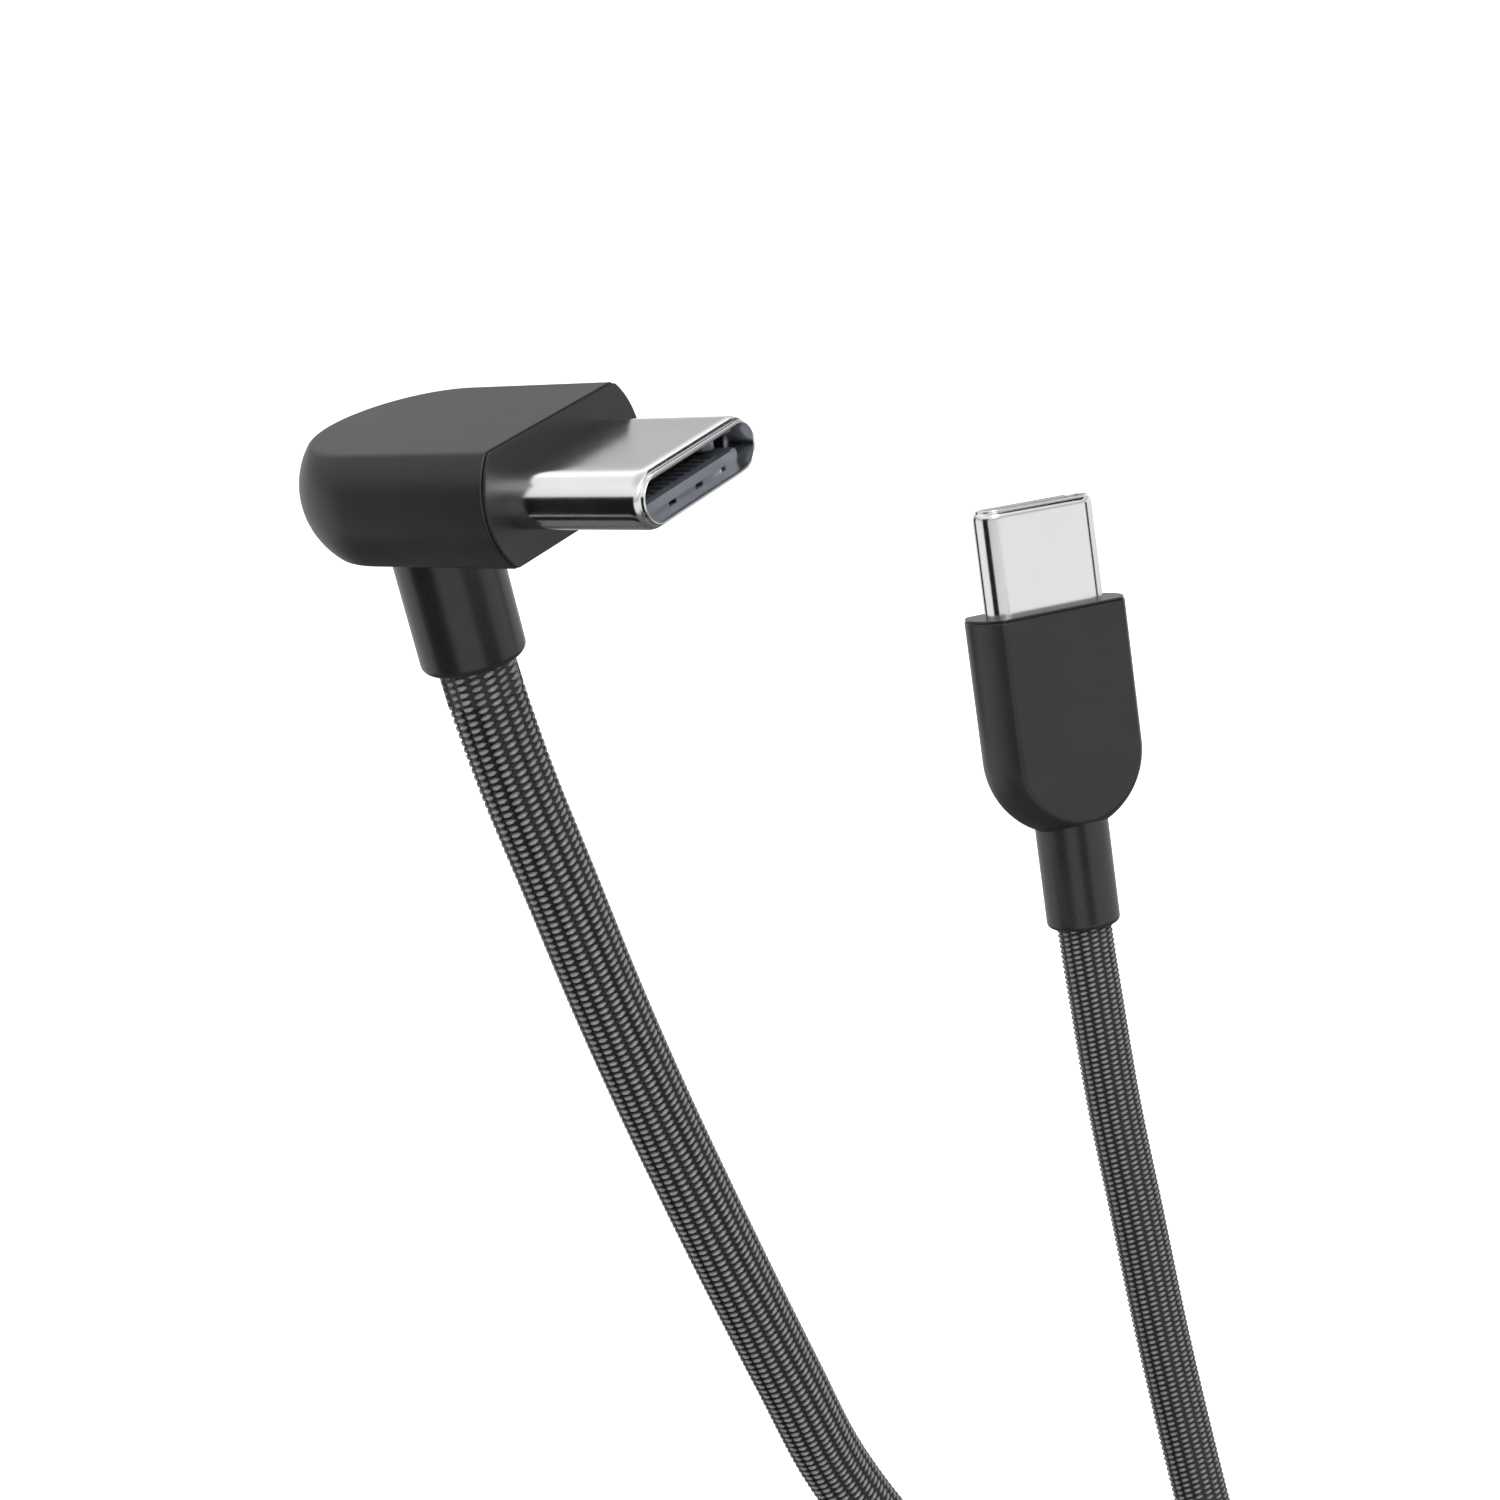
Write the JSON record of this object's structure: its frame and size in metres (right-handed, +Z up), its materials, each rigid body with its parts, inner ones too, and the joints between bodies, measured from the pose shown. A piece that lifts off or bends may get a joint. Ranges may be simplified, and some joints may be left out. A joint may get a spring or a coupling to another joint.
{
  "type": "charging cable",
  "caption": "Short braided charging cable with a flat right-angle connector at one end and a slim straight connector at the other, coiled and held by a strap.",
  "frame": {"origin": "centre of the angled plug's front face, where its steel shell leaves the overmould", "axes": "+X the way the angled plug goes into a socket, +Y across its width, +Z up, away from its cord"},
  "size_m": [0.0453, 0.0664, 0.1153],
  "materials": {
    "plug_steel": "polished",
    "insulator_plastic": "matte",
    "contact_gold": "polished",
    "spring_steel": "satin",
    "circuit_board": "satin",
    "shield_steel": "satin",
    "inner_plastic": "satin",
    "wire_insulation": "satin",
    "overmould_plastic": "satin",
    "front_plate_plastic": "satin",
    "sleeve_plastic": "satin",
    "chip_black": "matte",
    "ceramic": "matte",
    "braid": "woven",
    "strap": "woven"
  },
  "bodies": {
    "cable": {"angled_shell": "plug_steel", "angled_insulator": "insulator_plastic", "angled_upper_contacts": "contact_gold", "angled_lower_contacts": "contact_gold", "angled_ground_springs": "spring_steel", "angled_paddle_card": "circuit_board", "angled_shield_can": "shield_steel", "angled_inner_mould": "inner_plastic", "angled_wires": "wire_insulation", "angled_crimp_ring": "shield_steel", "angled_housing": "overmould_plastic", "angled_front_plate": "front_plate_plastic", "angled_strain_relief": "sleeve_plastic", "straight_shell": "plug_steel", "straight_insulator": "insulator_plastic", "straight_upper_contacts": "contact_gold", "straight_lower_contacts": "contact_gold", "straight_ground_springs": "spring_steel", "straight_paddle_card": "circuit_board", "straight_shield_can": "shield_steel", "straight_inner_mould": "inner_plastic", "straight_wires": "wire_insulation", "straight_crimp_ring": "shield_steel", "straight_housing": "overmould_plastic", "straight_front_plate": "front_plate_plastic", "straight_strain_relief": "sleeve_plastic", "identity_chip": "chip_black", "board_passives": "ceramic", "cord_angled_run": "braid", "cord_coil": "braid", "cord_straight_run": "braid", "cable_tie": "strap"},
    "angled_latch_left_blade": {"angled_latch_left": "spring_steel"},
    "angled_latch_right_blade": {"angled_latch_right": "spring_steel"},
    "straight_latch_left_blade": {"straight_latch_left": "spring_steel"},
    "straight_latch_right_blade": {"straight_latch_right": "spring_steel"}
  },
  "joints": [
    {"name": "angled_latch_left_flex", "type": "hinge", "parent": "cable", "child": "angled_latch_left_blade", "pos_m": [-0.0015, 0.00332, 0], "axis": [0, 0, 1], "range_deg": [0, 2.2], "stiffness_Nm_per_rad": 0.1},
    {"name": "angled_latch_right_flex", "type": "hinge", "parent": "cable", "child": "angled_latch_right_blade", "pos_m": [-0.0015, -0.00332, 0], "axis": [0, 0, -1], "range_deg": [0, 2.2], "stiffness_Nm_per_rad": 0.1},
    {"name": "straight_latch_left_flex", "type": "hinge", "parent": "cable", "child": "straight_latch_left_blade", "pos_m": [-0.01064, 0.04918, -0.02915], "axis": [0.8448, -0.5004, 0.1893], "range_deg": [0, 2.2], "stiffness_Nm_per_rad": 0.1},
    {"name": "straight_latch_right_flex", "type": "hinge", "parent": "cable", "child": "straight_latch_right_blade", "pos_m": [-0.00712, 0.05473, -0.03017], "axis": [-0.8448, 0.5004, -0.1893], "range_deg": [0, 2.2], "stiffness_Nm_per_rad": 0.1}
  ]
}
